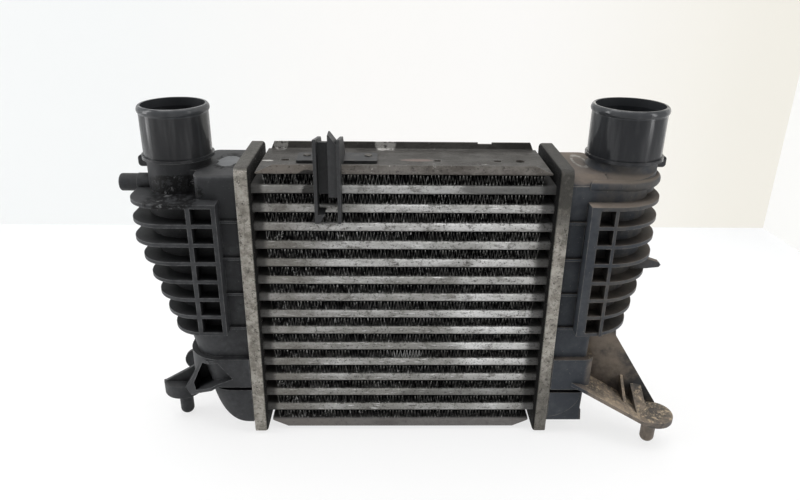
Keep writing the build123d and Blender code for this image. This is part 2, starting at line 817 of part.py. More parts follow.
def duct_clip():
    """The black clip that holds a duct in front of the core."""
    base_top = clip_base_top_z
    half_width = clip_base_width / 2
    half_depth = clip_base_depth / 2
    clip = block(
        (clip_base_x - half_width, clip_base_y - half_depth, clip_base_z),
        (clip_base_x + half_width, clip_base_y + half_depth, base_top),
    )
    clip = fillet(clip.edges().filter_by(Axis.Z), clip_base_corner)
    flange_top = top_tube_z + plate_offset + plate_flange_height + clip_fin_gap
    hang_y = -core_depth / 2 - clip_fin_gap
    behind_flange = -core_depth / 2 + plate_sheet + clip_fin_gap
    back_y = clip_base_y + half_depth - clip_fin_back_inset
    fin_low = base_top - clip_fin_sink
    fin = Plane.YZ * make_face(
        Polyline(
            (-clip_fin_front, clip_drop_z),
            (hang_y, clip_drop_z),
            (hang_y, flange_top),
            (behind_flange, flange_top),
            (behind_flange, fin_low),
            (back_y, fin_low),
            (back_y, base_top + clip_fin_back_rise),
            (clip_fin_back_y, clip_fin_back_top_z),
            (-clip_fin_front, clip_fin_top_z),
            close=True,
        )
    )
    for x in (clip_fin_left_x, clip_fin_right_x):
        clip += Pos(x, 0, 0) * extrude(fin, clip_fin_thickness / 2, both=True)
    clip += block(
        (clip_fin_left_x, hang_y - clip_web_thickness, clip_web_bottom_z),
        (clip_fin_right_x, hang_y, clip_web_top_z),
    )
    rib_low = clip_web_bottom_z + clip_rib_low_gap
    rib_front_y = -clip_fin_front + clip_rib_front_inset
    wedge = side_slab(
        [
            (clip_rib_x, rib_low),
            (clip_rib_x + clip_rib_width, rib_low),
            (clip_rib_x + clip_rib_width, clip_rib_top_z - clip_rib_slope),
            (clip_rib_x + clip_rib_flat, clip_rib_top_z),
            (clip_rib_x, clip_rib_top_z),
        ],
        rib_front_y,
        hang_y,
    )
    clip += wedge
    clip += side_slab(
        [
            (clip_fin_left_x, clip_drop_z),
            (clip_fin_left_x + clip_hook_flat, clip_drop_z),
            (clip_fin_left_x + clip_hook_reach, clip_drop_z + clip_hook_height),
            (clip_fin_left_x, clip_drop_z + clip_hook_height),
        ],
        -clip_fin_front,
        hang_y,
    )
    for x in rivet_places():
        hole_radius = rivet_radius + rivet_hole_clearance
        clip -= Pos(x, rivet_y, base_top) * Cylinder(hole_radius, 3 * clip_base_thickness)
    return clip


def clip_rivets():
    """Two rivets through the clip's base and the top plate."""
    plate_low = top_tube_z + plate_offset
    shank = Cylinder(rivet_radius, clip_base_top_z - plate_low, align=(Align.CENTER, Align.CENTER, Align.MIN))
    head = Cylinder(rivet_head_radius, rivet_head_height, align=(Align.CENTER, Align.CENTER, Align.MIN))
    head = chamfer(head.edges().group_by(Axis.Z)[-1], rivet_head_height / 2)
    rivet = Pos(0, 0, plate_low) * shank + Pos(0, 0, clip_base_top_z) * head
    rivets = Part()
    for x in rivet_places():
        rivets += Pos(x, rivet_y, 0) * rivet
    return rivets


def all_nodes():
    """Every piece by its name, still in the drawing position."""
    nodes = {}
    tube = core_tube()
    insert = turbulator()
    row = air_fin()
    for i in range(tube_count):
        place = Pos(0, 0, top_tube_z - i * tube_pitch)
        nodes[f"core_tube_{i + 1:02d}"] = place * tube
        nodes[f"turbulator_{i + 1:02d}"] = place * insert
    for i in range(tube_count + 1):
        nodes[f"air_fin_{i + 1:02d}"] = Pos(0, 0, top_tube_z + (0.5 - i) * tube_pitch) * row
    nodes["side_plate_top"] = top_side_plate()
    nodes["side_plate_bottom"] = bottom_side_plate()
    nodes["header_right"] = header()
    nodes["header_left"] = mirror(nodes["header_right"], about=Plane.YZ)
    nodes["tank_gasket_right"] = tank_gasket()
    nodes["tank_gasket_left"] = mirror(nodes["tank_gasket_right"], about=Plane.YZ)
    nodes["tank_right"] = right_tank()
    nodes["tank_left"] = left_tank()
    nodes["duct_clip"] = duct_clip()
    nodes["clip_rivets"] = clip_rivets()
    return nodes


os.makedirs("parts", exist_ok=True)
nodes = all_nodes()
boxes = [shape.bounding_box() for shape in nodes.values()]
lows = [min(getattr(box.min, axis) for box in boxes) for axis in "XYZ"]
highs = [max(getattr(box.max, axis) for box in boxes) for axis in "XYZ"]
to_base_centre = Pos(-(lows[0] + highs[0]) / 2, -(lows[1] + highs[1]) / 2, -lows[2])
for name, shape in nodes.items():
    export_step(to_base_centre * shape, f"parts/{name}.step")
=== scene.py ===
import math

import bmesh
import bpy
from mathutils import Color, Matrix, Vector, noise


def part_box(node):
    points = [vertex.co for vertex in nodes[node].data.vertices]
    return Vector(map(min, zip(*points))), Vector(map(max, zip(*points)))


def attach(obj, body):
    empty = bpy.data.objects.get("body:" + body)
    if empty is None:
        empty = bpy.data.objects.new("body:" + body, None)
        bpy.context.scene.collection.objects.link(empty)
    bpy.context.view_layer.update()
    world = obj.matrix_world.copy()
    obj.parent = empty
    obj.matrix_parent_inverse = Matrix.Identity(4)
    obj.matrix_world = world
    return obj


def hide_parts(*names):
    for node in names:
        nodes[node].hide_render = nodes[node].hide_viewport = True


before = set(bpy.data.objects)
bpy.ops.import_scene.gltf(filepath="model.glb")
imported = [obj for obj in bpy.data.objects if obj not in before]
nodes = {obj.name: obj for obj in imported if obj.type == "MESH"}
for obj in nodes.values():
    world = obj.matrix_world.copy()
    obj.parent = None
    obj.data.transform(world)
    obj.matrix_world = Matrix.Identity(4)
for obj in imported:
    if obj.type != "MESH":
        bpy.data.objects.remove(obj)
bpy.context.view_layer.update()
mm = 0.001


class Wire:
    # an output socket that stands in sums, so that shader maths reads as maths
    def __init__(self, tree, socket=None):
        self.tree = tree
        self.socket = socket

    def node(self, kind, settings=None, values=None, output=0):
        made = self.tree.nodes.new(kind)
        for name, value in (settings or {}).items():
            setattr(made, name, value)
        for key, value in (values or {}).items():
            if isinstance(value, Wire):
                self.tree.links.new(value.socket, made.inputs[key])
            else:
                made.inputs[key].default_value = value
        return Wire(self.tree, made.outputs[output])

    def maths(self, operation, first, second=0.0):
        return self.node("ShaderNodeMath", {"operation": operation}, {0: first, 1: second})

    def __add__(self, other):
        return self.maths("ADD", self, other)

    __radd__ = __add__

    def __sub__(self, other):
        return self.maths("SUBTRACT", self, other)

    def __rsub__(self, other):
        return self.maths("SUBTRACT", other, self)

    def __mul__(self, other):
        return self.maths("MULTIPLY", self, other)

    __rmul__ = __mul__

    def __truediv__(self, other):
        return self.maths("DIVIDE", self, other)

    def __abs__(self):
        return self.maths("ABSOLUTE", self)

    def fraction(self):
        return self.maths("FRACT", self)

    def root(self):
        return self.maths("SQRT", self)

    def greater(self, other):
        return self.maths("MAXIMUM", self, other)

    def lesser(self, other):
        return self.maths("MINIMUM", self, other)

    def rise(self, low, high):
        # 0 below low, 1 above high, smooth between; falls where low is above high
        if low > high:
            return 1 - self.rise(high, low)
        values = {"Value": self, "From Min": low, "From Max": high}
        return self.node("ShaderNodeMapRange", {"interpolation_type": "SMOOTHSTEP"}, values)


def colour(red, green, blue):
    # tones are written as seen, 0 to 255
    seen = Color((red / 255, green / 255, blue / 255))
    return (*seen.from_srgb_to_scene_linear(), 1)


def blend(first, second, mask):
    # a mix node's colours are its inputs 6 and 7 and its output 2
    return mask.node("ShaderNodeMix", {"data_type": "RGBA"}, {0: mask, 6: first, 7: second}, 2)


def cover(base, layer, texture=None, where=1.0):
    # paints the layer's tone where the texture climbs through the layer's span
    mask = where * layer.get("share", 1.0)
    if texture is not None:
        mask = texture.rise(*layer["span"]) * mask
    return blend(base, colour(*layer["tone"]), mask)


def mixed(amounts, *wires):
    # the first amount stands alone, each other one multiplies its wire
    total = amounts[0]
    for amount, wire in zip(amounts[1:], wires):
        total = total + amount * wire
    return total


def grain(place, size, detail=3, roughness=0.5, stretch=None):
    # noise whose blotches are about size metres across
    if stretch:
        place = place.node("ShaderNodeMapping", values={"Vector": place, "Scale": stretch})
    values = {"Vector": place, "Scale": 1 / size, "Detail": detail, "Roughness": roughness}
    return place.node("ShaderNodeTexNoise", values=values)


def grains(place, look):
    # the look's noises, in the order in which they are listed
    return [grain(place, **kind) for kind in look["noise"].values()]


def axes(place):
    split = place.node("ShaderNodeSeparateXYZ", values={0: place})
    return [Wire(place.tree, socket) for socket in split.socket.node.outputs]


def fromCore(place):
    # metres to the right, back and up from the top tube's centre
    values = {0: place, 1: tuple(core)}
    return axes(place.node("ShaderNodeVectorMath", {"operation": "SUBTRACT"}, values))


masks = {
    "bevel samples": 6,
    "edge": (0.02, 0.22),
    "pocket samples": 8,
    "patch": (1.15, 0.85),
    "average texture": 0.5,
}


def away(across, along, spot):
    # squared distance from an oval spot's centre, 1 on its rim; the spot is in mm
    first = (across - spot["centre"][0] * mm) / (spot["reach"][0] * mm)
    second = (along - spot["centre"][1] * mm) / (spot["reach"][1] * mm)
    return first * first + second * second


def patch(across, along, spot, texture=None):
    # 1 inside an oval spot; a ragged spot's rim follows the texture
    distance = away(across, along, spot)
    if texture is not None:
        distance = distance + (texture - masks["average texture"]) * spot["ragged"]
    if "shrunk" in spot:
        distance = distance + spot["shrunk"]
    return distance.rise(*masks["patch"])


def edges(place, radius):
    # 1 on sharp edges, 0 on open faces
    soft = place.node("ShaderNodeBevel", {"samples": masks["bevel samples"]}, {"Radius": radius})
    values = {0: soft, 1: place.node("ShaderNodeNewGeometry", output="Normal")}
    alike = place.node("ShaderNodeVectorMath", {"operation": "DOT_PRODUCT"}, values, "Value")
    return (1 - alike).rise(*masks["edge"])


def crevice(place, distance):
    # 1 deep in pockets, 0 in the open
    settings = {"samples": masks["pocket samples"]}
    return 1 - place.node("ShaderNodeAmbientOcclusion", settings, {"Distance": distance}, "AO")


def facing(place, axis):
    # 1 on faces that look along the axis, -1 on those that look the other way
    normal = place.node("ShaderNodeNewGeometry", output="Normal")
    return place.node("ShaderNodeSeparateXYZ", values={0: normal}, output=axis)


def newMaterial(name, fixed=None):
    material = bpy.data.materials.new(name)
    material.use_nodes = True
    shader = material.node_tree.nodes["Principled BSDF"]
    for socket, value in (fixed or {}).items():
        shader.inputs[socket].default_value = value
    start = Wire(material.node_tree)
    return material, start.node("ShaderNodeTexCoord", output="Object")


def finishMaterial(material, base, rough=None, metal=None, coat=None, height=None, depth=0.0):
    tree = material.node_tree
    shader = tree.nodes["Principled BSDF"]
    wires = {"Base Color": base, "Roughness": rough, "Metallic": metal, "Coat Weight": coat}
    if height is not None:
        values = {"Height": height, "Distance": depth}
        wires["Normal"] = height.node("ShaderNodeBump", values=values)
    for socket, wire in wires.items():
        if wire is not None:
            tree.links.new(wire.socket, shader.inputs[socket])
    return material


def addObject(name, data):
    added = bpy.data.objects.new(name, data)
    bpy.context.scene.collection.objects.link(added)
    return added


def addMesh(name, form, material):
    mesh = bpy.data.meshes.new(name)
    form.to_mesh(mesh)
    form.free()
    mesh.materials.append(material)
    return addObject(name, mesh)


def dress(node, material):
    mesh = nodes[node].data
    mesh.materials.clear()
    mesh.materials.append(material)


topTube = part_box("core_tube_01")
core = (topTube[0] + topTube[1]) / 2  # centre of the top tube, from which places are measured
tubePitch = topTube[0].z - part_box("core_tube_02")[0].z


cameraPlace = {
    "from core": (-0.012358, -0.475252, 0.149481),
    "pitch": 0.41095,
    "yaw": 0.022437,
    "roll": 0.013265,
    "lens": 31.025,
    "sensor": 36,
}


def makeCamera(spec):
    pitch, yaw, roll = spec["pitch"], spec["yaw"], spec["roll"]
    level = Vector((math.sin(yaw), math.cos(yaw), 0))
    ahead = level * math.cos(pitch) - Vector((0, 0, math.sin(pitch)))
    right = Vector((math.cos(yaw), -math.sin(yaw), 0))
    up = right.cross(ahead)
    rolledRight = math.cos(roll) * right + math.sin(roll) * up
    rolledUp = math.cos(roll) * up - math.sin(roll) * right
    data = bpy.data.cameras.new("camera")
    data.lens = spec["lens"]
    data.sensor_width = spec["sensor"]
    camera = addObject("camera", data)
    turn = Matrix((rolledRight, rolledUp, -ahead)).transposed().to_4x4()
    camera.matrix_world = Matrix.Translation(core + Vector(spec["from core"])) @ turn
    bpy.context.scene.camera = camera


room = {
    "reach": 3.0,
    "height": 1.6,
    "wall": 0.415,
    "corner": 0.508,
    "side wall end": 0.16,
    "side wall lean": 0.02,
    "floor near": (255, 255, 255),
    "floor far": (250, 251, 252),
    "floor change": (0.1, 0.415),
    "wall left": (246, 248, 248),
    "left change": (-0.4, 0.0),
    "wall middle": (252, 251, 249),
    "right change": (0.1, 0.5),
    "wall right": (243, 240, 231),
    "side wall": (254, 254, 252),
    "side wall blotch": (250, 250, 248),
    "side wall noise": {"size": 0.4, "detail": 1},
    "floor paint": {"roughness": 0.6, "shadow kept": 0.26},
    "wall paint": {"roughness": 0.8, "shadow kept": 0.104},
}


def seenDirectly(place):
    # 1 for what the camera, gloss and glass see, 0 for light that falls on the part
    rays = ("Is Camera Ray", "Is Glossy Ray", "Is Transmission Ray")
    camera, gloss, glass = [place.node("ShaderNodeLightPath", output=ray) for ray in rays]
    return (camera + gloss + glass).lesser(1)


def backdropPaint(name, tone, spec, oneSided=False):
    # its tone shows as it is, with a share of the real shading, so that a shadow stays
    material, place = newMaterial(name, {"Roughness": spec["roughness"]})
    base = tone(place)
    finishMaterial(material, base)
    tree = material.node_tree
    glow = place.node("ShaderNodeEmission", values={"Color": base})
    lit = Wire(tree, tree.nodes["Principled BSDF"].outputs[0])
    flat = seenDirectly(place) * (1 - spec["shadow kept"])
    paint = place.node("ShaderNodeMixShader", values={0: flat, 1: lit, 2: glow})
    if oneSided:
        behind = place.node("ShaderNodeNewGeometry", output="Backfacing")
        clear = place.node("ShaderNodeBsdfTransparent")
        paint = place.node("ShaderNodeMixShader", values={0: behind, 1: paint, 2: clear})
    tree.links.new(paint.socket, tree.nodes["Material Output"].inputs["Surface"])
    return material


def stagePlane(name, corners, material):
    form = bmesh.new()
    form.faces.new([form.verts.new(corner) for corner in corners])
    addMesh(name, form, material)


def standing(start, end, height):
    # corners of an upright wall between two places on the floor
    return [(*start, 0), (*end, 0), (*end, height), (*start, height)]


def makeRoom(spec):
    def floorTone(place):
        near, far = colour(*spec["floor near"]), colour(*spec["floor far"])
        return blend(near, far, axes(place)[1].rise(*spec["floor change"]))

    def wallTone(place):
        x = axes(place)[0]
        left, middle = colour(*spec["wall left"]), colour(*spec["wall middle"])
        tone = blend(left, middle, x.rise(*spec["left change"]))
        return blend(tone, colour(*spec["wall right"]), x.rise(*spec["right change"]))

    def sideTone(place):
        plain, blotch = colour(*spec["side wall"]), colour(*spec["side wall blotch"])
        return blend(plain, blotch, grain(place, **spec["side wall noise"]))

    reach, wall, corner, height = spec["reach"], spec["wall"], spec["corner"], spec["height"]
    floor = [(-reach, -reach, 0), (reach, -reach, 0), (reach, reach, 0), (-reach, reach, 0)]
    stagePlane("floor", floor, backdropPaint("floor_paint", floorTone, spec["floor paint"]))
    paint = backdropPaint("wall_paint", wallTone, spec["wall paint"], oneSided=True)
    stagePlane("back_wall", standing((-reach, wall), (corner, wall), height), paint)
    paint = backdropPaint("side_wall_paint", sideTone, spec["wall paint"], oneSided=True)
    sideEnd = (corner + spec["side wall lean"], spec["side wall end"])
    stagePlane("side_wall", standing((corner, wall), sideEnd, height), paint)


lamps = {
    "ceiling": {"place": (0, 0, 1.5), "aim": (0, 0, 0.1), "size": (1.5, 0.9), "power": 15},
    "window": {"place": (-0.85, -0.1, 0.42), "aim": (0, 0, 0.2), "size": (0.22, 0.8), "power": 3.4},
    "door": {"place": (0.8, -0.44, 0.42), "aim": (0, 0, 0.2), "size": (0.18, 0.8), "power": 2.6},
}
sky = {"on the part": 0.22, "seen directly": 0.96}


def makeLamp(name, lamp):
    data = bpy.data.lights.new(name, "AREA")
    data.shape = "RECTANGLE"
    data.size, data.size_y = lamp["size"]
    data.energy = lamp["power"]
    light = addObject(name, data)
    light.location = lamp["place"]
    aim = Vector(lamp["aim"]) - Vector(lamp["place"])
    light.rotation_euler = aim.to_track_quat("-Z", "Y").to_euler()
    light.visible_camera = False


def makeSky(spec):
    world = bpy.data.worlds.new("room_light")
    world.use_nodes = True
    background = world.node_tree.nodes["Background"]
    background.inputs["Color"].default_value = colour(255, 255, 255)
    brighter = spec["seen directly"] - spec["on the part"]
    strength = mixed((spec["on the part"], brighter), seenDirectly(Wire(world.node_tree)))
    world.node_tree.links.new(strength.socket, background.inputs["Strength"])
    bpy.context.scene.world = world


makeCamera(cameraPlace)
makeRoom(room)
for name, lamp in lamps.items():
    makeLamp(name, lamp)
makeSky(sky)
bpy.context.scene.view_settings.view_transform = "Standard"
print("camera, room and light")


# A layer's tone is painted as strongly as its share says, from where its texture enters its span.
# Centres are in mm from the top tube's centre and reaches in mm; other lengths are in metres.
tankLook = {
    "left": {
        "plastic": (48, 49, 51),
        "worn": {"tone": (70, 71, 73), "span": (0.52, 0.9)},
        "dust": {"tone": (92, 90, 87), "span": (0.95, 1.5), "share": 0.3},
        "rim": {"tone": (128, 129, 130), "span": (0.3, 0.6)},
        "speck": {"tone": (158, 153, 144), "span": (0.7, 0.76), "share": 0.27},
        "bead from": (45.1 * mm, 45.5 * mm),
    },
    "right": {
        "plastic": (52, 56, 62),
        "worn": {"tone": (70, 73, 77), "span": (0.52, 0.9)},
        "dust": {"tone": (136, 122, 108), "span": (0.675, 1.5), "share": 0.85},
        "rim": {"tone": (134, 130, 124), "span": (0.3, 0.6)},
        "speck": {"tone": (158, 153, 144), "span": (0.7, 0.76), "share": 0.49},
        "bead from": (47.1 * mm, 47.5 * mm),
    },
    "both": {
        "fixed": {"Specular IOR Level": 0.18, "Coat Roughness": 0.12, "Coat IOR": 1.42},
        "noise": {
            "broad": {"size": 35 * mm, "detail": 4, "roughness": 0.6},
            "fine": {"size": 5 * mm, "detail": 5, "roughness": 0.7},
            "specks": {"size": 1.2 * mm, "detail": 2, "roughness": 0.6},
            "streaks": {"size": 8 * mm, "detail": 3, "roughness": 0.6, "stretch": (1, 1, 0.12)},
        },
        "rim radius": 1 * mm,
        "pocket reach": 16 * mm,
        "spigot from": (14.5 * mm, 16 * mm),
        "upward": (0.15, 0.9),
        "wear by broad, fine": (0, 0.8, 0.5),
        "dust by upward, broad, fine, pocket": (0, 0.8, 0.5, 0.3, -0.3),
        "dust kept by spigot": (1, -0.9),
        "rim share by spigot": (0.75, -0.45),
        "painted pocket shade": {"tone": (9, 9, 10), "span": (0.3, 0.8), "share": 0.9},
        "spigot": {"tone": (20, 21, 24), "share": 0.85},
        "streak": {"tone": (60, 63, 66), "span": (0.5, 0.75), "share": 0.35},
        "bead": {"tone": (54, 56, 59), "share": 0.8},
        "rough by fine, dust": (0.4, 0.2, 0.3),
        "roughest": 0.9,
        "streak gloss": (0.4, 0.6),
        "coat by streak": (0.3, 0.5),
        "rim coat": 0.25,
        "height by fine, specks": (0, 0.6, 0.4),
        "height": 0.12 * mm,
    },
}
leftMarks = {
    "flat": (0.8, 0.95),
    "scuff border": {
        "centre": (-124.5, 4), "reach": (11, 21), "ragged": 2.4,
        "tone": (8, 8, 9), "span": (0.4, 0.55),
    },
    "scuff": {
        "centre": (-124.5, 4), "reach": (7.5, 13), "ragged": 1.2,
        "tone": (116, 118, 120), "share": 0.9,
    },
    "smear noise": {"size": 7 * mm, "detail": 5, "roughness": 0.75},
    "front": (0, -12 * mm),
    "neck smear": {
        "centre": (-157, -2), "reach": (22, 9), "ragged": 2.4,
        "tone": (8, 8, 9), "span": (0.42, 0.5),
    },
    "smear shine": {"tone": (112, 113, 114), "span": (0.57, 0.63), "share": 0.8},
}
rightMarks = {
    "ribs right of": (128 * mm, 136 * mm),
    "ribs above": (-112 * mm, -106 * mm),
    "dust by broad, fine": (0, 0.8, 0.4),
    "rib dust": {"tone": (84, 79, 73), "span": (0.45, 0.8), "share": 0.7},
    "flat": (0.8, 0.95),
    "ring": {
        "centre": (128.4, 9.5), "reach": (4.6, 15),
        "tone": (150, 148, 143), "span": (0.35, 0.6),
    },
    "ring line": (0.26, 0.1),
    "arm right of": (137 * mm, 143 * mm),
    "arm below": (-112 * mm, -122 * mm),
    "arm dirt": (72, 70, 68),
    "tint by broad, fine": (0, 1, 0.4),
    "arm dust": {"tone": (158, 143, 126), "span": (0.5, 0.85)},
    "arm share by upward": (0.6, 0.35),
    "arm share by pocket": (1, -0.35),
    "crease noise": {"size": 4 * mm, "detail": 4, "roughness": 0.8},
    "crease": {"tone": (190, 172, 146), "span": (0.5, 0.64), "share": 0.8},
}


def markLeft(base, place, fine, marks):
    # a scuff on the tank's top and a smear around the neck's front
    x, y, z = fromCore(place)
    flat = facing(place, "Z").rise(*marks["flat"])
    border, scuff, smear = marks["scuff border"], marks["scuff"], marks["neck smear"]
    base = cover(base, border, fine, patch(x, y, border, fine) * flat)
    base = cover(base, scuff, where=patch(x, y, scuff, fine) * flat)
    ragged = grain(place, **marks["smear noise"])
    neck = patch(x, z, smear, ragged) * y.rise(*marks["front"])
    base = cover(base, smear, ragged, neck)
    return cover(base, marks["smear shine"], ragged, neck)


def dustRibs(base, place, broad, fine, body, marks):
    x, _, z = fromCore(place)
    ribs = x.rise(*marks["ribs right of"]) * z.rise(*marks["ribs above"]) * body
    return cover(base, marks["rib dust"], mixed(marks["dust by broad, fine"], broad, fine), ribs)


def markRight(base, place, broad, fine, deep, upward, marks):
    # a ring left on the tank's top, and a dusty arm with pale creases
    x, y, z = fromCore(place)
    ring = abs(away(x, y, marks["ring"]).root() - 1).rise(*marks["ring line"])
    base = cover(base, marks["ring"], fine, ring * facing(place, "Z").rise(*marks["flat"]))
    arm = x.rise(*marks["arm right of"]) * z.rise(*marks["arm below"])
    dusty = mixed(marks["tint by broad, fine"], broad, fine)
    tint = cover(colour(*marks["arm dirt"]), marks["arm dust"], dusty)
    share = mixed(marks["arm share by upward"], upward) * mixed(marks["arm share by pocket"], deep)
    base = blend(base, tint, arm * share)
    return cover(base, marks["crease"], grain(place, **marks["crease noise"]), arm * upward)


def tankPlastic(side):
    own, look = tankLook[side], tankLook["both"]
    material, place = newMaterial("tank_plastic_" + side, look["fixed"])
    z = fromCore(place)[2]
    broad, fine, specks, streaks = grains(place, look)
    rim = edges(place, look["rim radius"])
    deep = crevice(place, look["pocket reach"])
    upward = facing(place, "Z").rise(*look["upward"])
    spigot = z.rise(*look["spigot from"])
    body = 1 - spigot
    worn = mixed(look["wear by broad, fine"], broad, fine)
    base = cover(colour(*own["plastic"]), own["worn"], worn)
    dust = mixed(look["dust by upward, broad, fine, pocket"], upward, broad, fine, deep)
    dust = dust.rise(*own["dust"]["span"]) * mixed(look["dust kept by spigot"], spigot)
    base = cover(base, own["dust"], where=dust)
    # sharp edges are lightened: edge wear and painted highlight
    base = cover(base, own["rim"], fine, rim * mixed(look["rim share by spigot"], spigot))
    # pockets are darkened by occlusion: painted shade
    base = cover(base, look["painted pocket shade"], deep)
    base = cover(base, look["spigot"], where=spigot)
    # lighter vertical streaks on the spigots: oily film and painted sheen
    base = cover(base, look["streak"], streaks, spigot)
    if side == "right":
        base = dustRibs(base, place, broad, fine, body, rightMarks)
    base = cover(base, own["speck"], specks, body)
    # the bead is lightened as a painted reflection
    base = cover(base, look["bead"], where=z.rise(*own["bead from"]))
    if side == "left":
        base = markLeft(base, place, fine, leftMarks)
    else:
        base = markRight(base, place, broad, fine, deep, upward, rightMarks)
    rough = mixed(look["rough by fine, dust"], fine, dust).lesser(look["roughest"])
    coat = spigot * mixed(look["coat by streak"], streaks.rise(*look["streak gloss"]))
    coat = coat + rim * body * look["rim coat"]
    height = mixed(look["height by fine, specks"], fine, specks)
    return finishMaterial(material, base, rough, coat=coat, height=height, depth=look["height"])


gasketLook = {
    "noise": {"fine": {"size": 2 * mm}},
    "rubber": (20, 20, 20),
    "dust": {"tone": (34, 34, 33)},
    "rough by fine": (0.7, 0.2),
}


def gasketRubber(look):
    material, place = newMaterial("gasket_rubber")
    (fine,) = grains(place, look)
    base = cover(colour(*look["rubber"]), look["dust"], where=fine)
    return finishMaterial(material, base, mixed(look["rough by fine"], fine))


clipLook = {
    "noise": {
        "fine": {"size": 3 * mm, "detail": 4, "roughness": 0.7},
        "dust": {"size": 8 * mm, "detail": 4},
    },
    "rim radius": 0.6 * mm,
    "upward": (0.3, 0.9),
    "plastic": (26, 27, 29),
    "worn": {"tone": (42, 43, 45), "span": (0.35, 0.7)},
    "rim": {"tone": (94, 94, 94), "span": (0.3, 0.6), "share": 0.6},
    "dust": {"tone": (82, 80, 77), "span": (0.45, 0.75), "share": 0.35},
    "rough by fine": (0.45, 0.2),
    "height": 0.1 * mm,
}


def clipPlastic(look):
    material, place = newMaterial("clip_plastic")
    fine, dust = grains(place, look)
    upward = facing(place, "Z").rise(*look["upward"])
    base = cover(colour(*look["plastic"]), look["worn"], fine)
    base = cover(base, look["rim"], fine, edges(place, look["rim radius"]))
    base = cover(base, look["dust"], dust, upward)
    rough = mixed(look["rough by fine"], fine)
    return finishMaterial(material, base, rough, height=fine, depth=look["height"])


rivetLook = {
    "fixed": {"Metallic": 0.7},
    "noise": {"fine": {"size": 1 * mm}},
    "steel": (60, 58, 56),
    "shine": {"tone": (110, 106, 100), "span": (0.4, 0.7)},
    "rough by fine": (0.4, 0.3),
}


def rivetMetal(look):
    material, place = newMaterial("rivet_metal", look["fixed"])
    (fine,) = grains(place, look)
    base = cover(colour(*look["steel"]), look["shine"], fine)
    return finishMaterial(material, base, mixed(look["rough by fine"], fine))


rubber = gasketRubber(gasketLook)
for side in ("left", "right"):
    dress("tank_" + side, tankPlastic(side))
    dress("tank_gasket_" + side, rubber)
dress("duct_clip", clipPlastic(clipLook))
dress("clip_rivets", rivetMetal(rivetLook))
print("tanks and clip")


tubeLook = {
    "noise": {
        "streak": {"size": 30 * mm, "detail": 4, "roughness": 0.6, "stretch": (0.4, 1, 1)},
        "blotch": {"size": 7 * mm, "detail": 5, "roughness": 0.7, "stretch": (0.6, 1, 1)},
        "pits": {"size": 1.6 * mm, "detail": 4, "roughness": 0.75},
        "lines": {"size": 1.1 * mm, "detail": 3, "roughness": 0.7, "stretch": (0.12, 1, 1)},
    },
    "metal": (132, 131, 127),
    "upper shine": {"centre": (20, -10), "reach": (70, 40), "ragged": 1, "shrunk": 0.5},
    "right shine": {"centre": (70, -100), "reach": (45, 90), "ragged": 1, "shrunk": 0.5},
    "shine by upper, right, streak": (0, 0.08, 0.16, 1),
    "shine": {"tone": (206, 206, 205), "span": (0.4, 0.8)},
    "stain": {"tone": (92, 89, 83), "span": (0.53, 0.66), "share": 0.75},
    "pitted": (0.3, 0.55),
    "pit": {"tone": (50, 48, 44), "span": (0.52, 0.62), "share": 0.85},
    "line": {"tone": (226, 226, 225), "span": (0.6, 0.68), "share": 0.7},
    "left of": (-50 * mm, -85 * mm),
    "left share by blotch": (0.35, 0.5),
    "left": {"tone": (104, 101, 95)},
    "dull top": {"centre": (80, 1), "reach": (42, 5), "ragged": 0.8},
    "dull low": {"centre": (60, -166), "reach": (60, 9), "ragged": 1},
    "dull low share": 0.6,
    "dull": {"tone": (62, 62, 60), "share": 0.75},
    "top tube above": (-6 * mm, -4 * mm),
    "top tube": {"tone": (120, 120, 119), "share": 0.35},
    "grime_and_painted_clip_shadow": {
        "centre": (-61, -1), "reach": (8, 6), "ragged": 2,
        "tone": (34, 33, 31), "share": 0.85,
    },
    "right end": (91.5 * mm, 97 * mm),
    "left end": (-94.5 * mm, -98.5 * mm),
    "end": {"tone": (34, 33, 32), "share": 0.75},
    "rough by blotch, end": (0.34, 0.34, 0.15),
    "bare": (0.5, 0.66),
    "metal by blotch": (0.85, -0.6),
    "metal by end": (1, -0.6),
    "height by pits, blotch": (0, 0.7, 0.3),
    "height": 0.3 * mm,
}


def tubeMetal(look):
    material, place = newMaterial("tube_metal")
    x, _, z = fromCore(place)
    streak, blotch, pits, lines = grains(place, look)
    upper = patch(x, z, look["upper shine"], streak)
    right = patch(x, z, look["right shine"], streak)
    shine = mixed(look["shine by upper, right, streak"], upper, right, streak)
    base = cover(colour(*look["metal"]), look["shine"], shine)
    base = cover(base, look["stain"], blotch)
    base = cover(base, look["pit"], pits, blotch.rise(*look["pitted"]))
    base = cover(base, look["line"], lines)
    left = x.rise(*look["left of"]) * mixed(look["left share by blotch"], blotch)
    base = cover(base, look["left"], where=left)
    low = patch(x, z, look["dull low"], streak) * look["dull low share"]
    base = cover(base, look["dull"], where=patch(x, z, look["dull top"], streak).greater(low))
    base = cover(base, look["top tube"], where=z.rise(*look["top tube above"]))
    # a dark patch beside the clip: grime and painted clip shadow
    base = cover(base, look["grime_and_painted_clip_shadow"], where=patch(x, z, look["grime_and_painted_clip_shadow"], blotch))
    # tube ends next to the headers are darkened as painted shade
    end = x.rise(*look["right end"]).greater(x.rise(*look["left end"]))
    base = cover(base, look["end"], where=end)
    rough = mixed(look["rough by blotch, end"], blotch, end)
    metal = mixed(look["metal by blotch"], blotch.rise(*look["bare"]))
    metal = metal * mixed(look["metal by end"], end)
    height = mixed(look["height by pits, blotch"], pits, blotch)
    return finishMaterial(material, base, rough, metal, height=height, depth=look["height"])


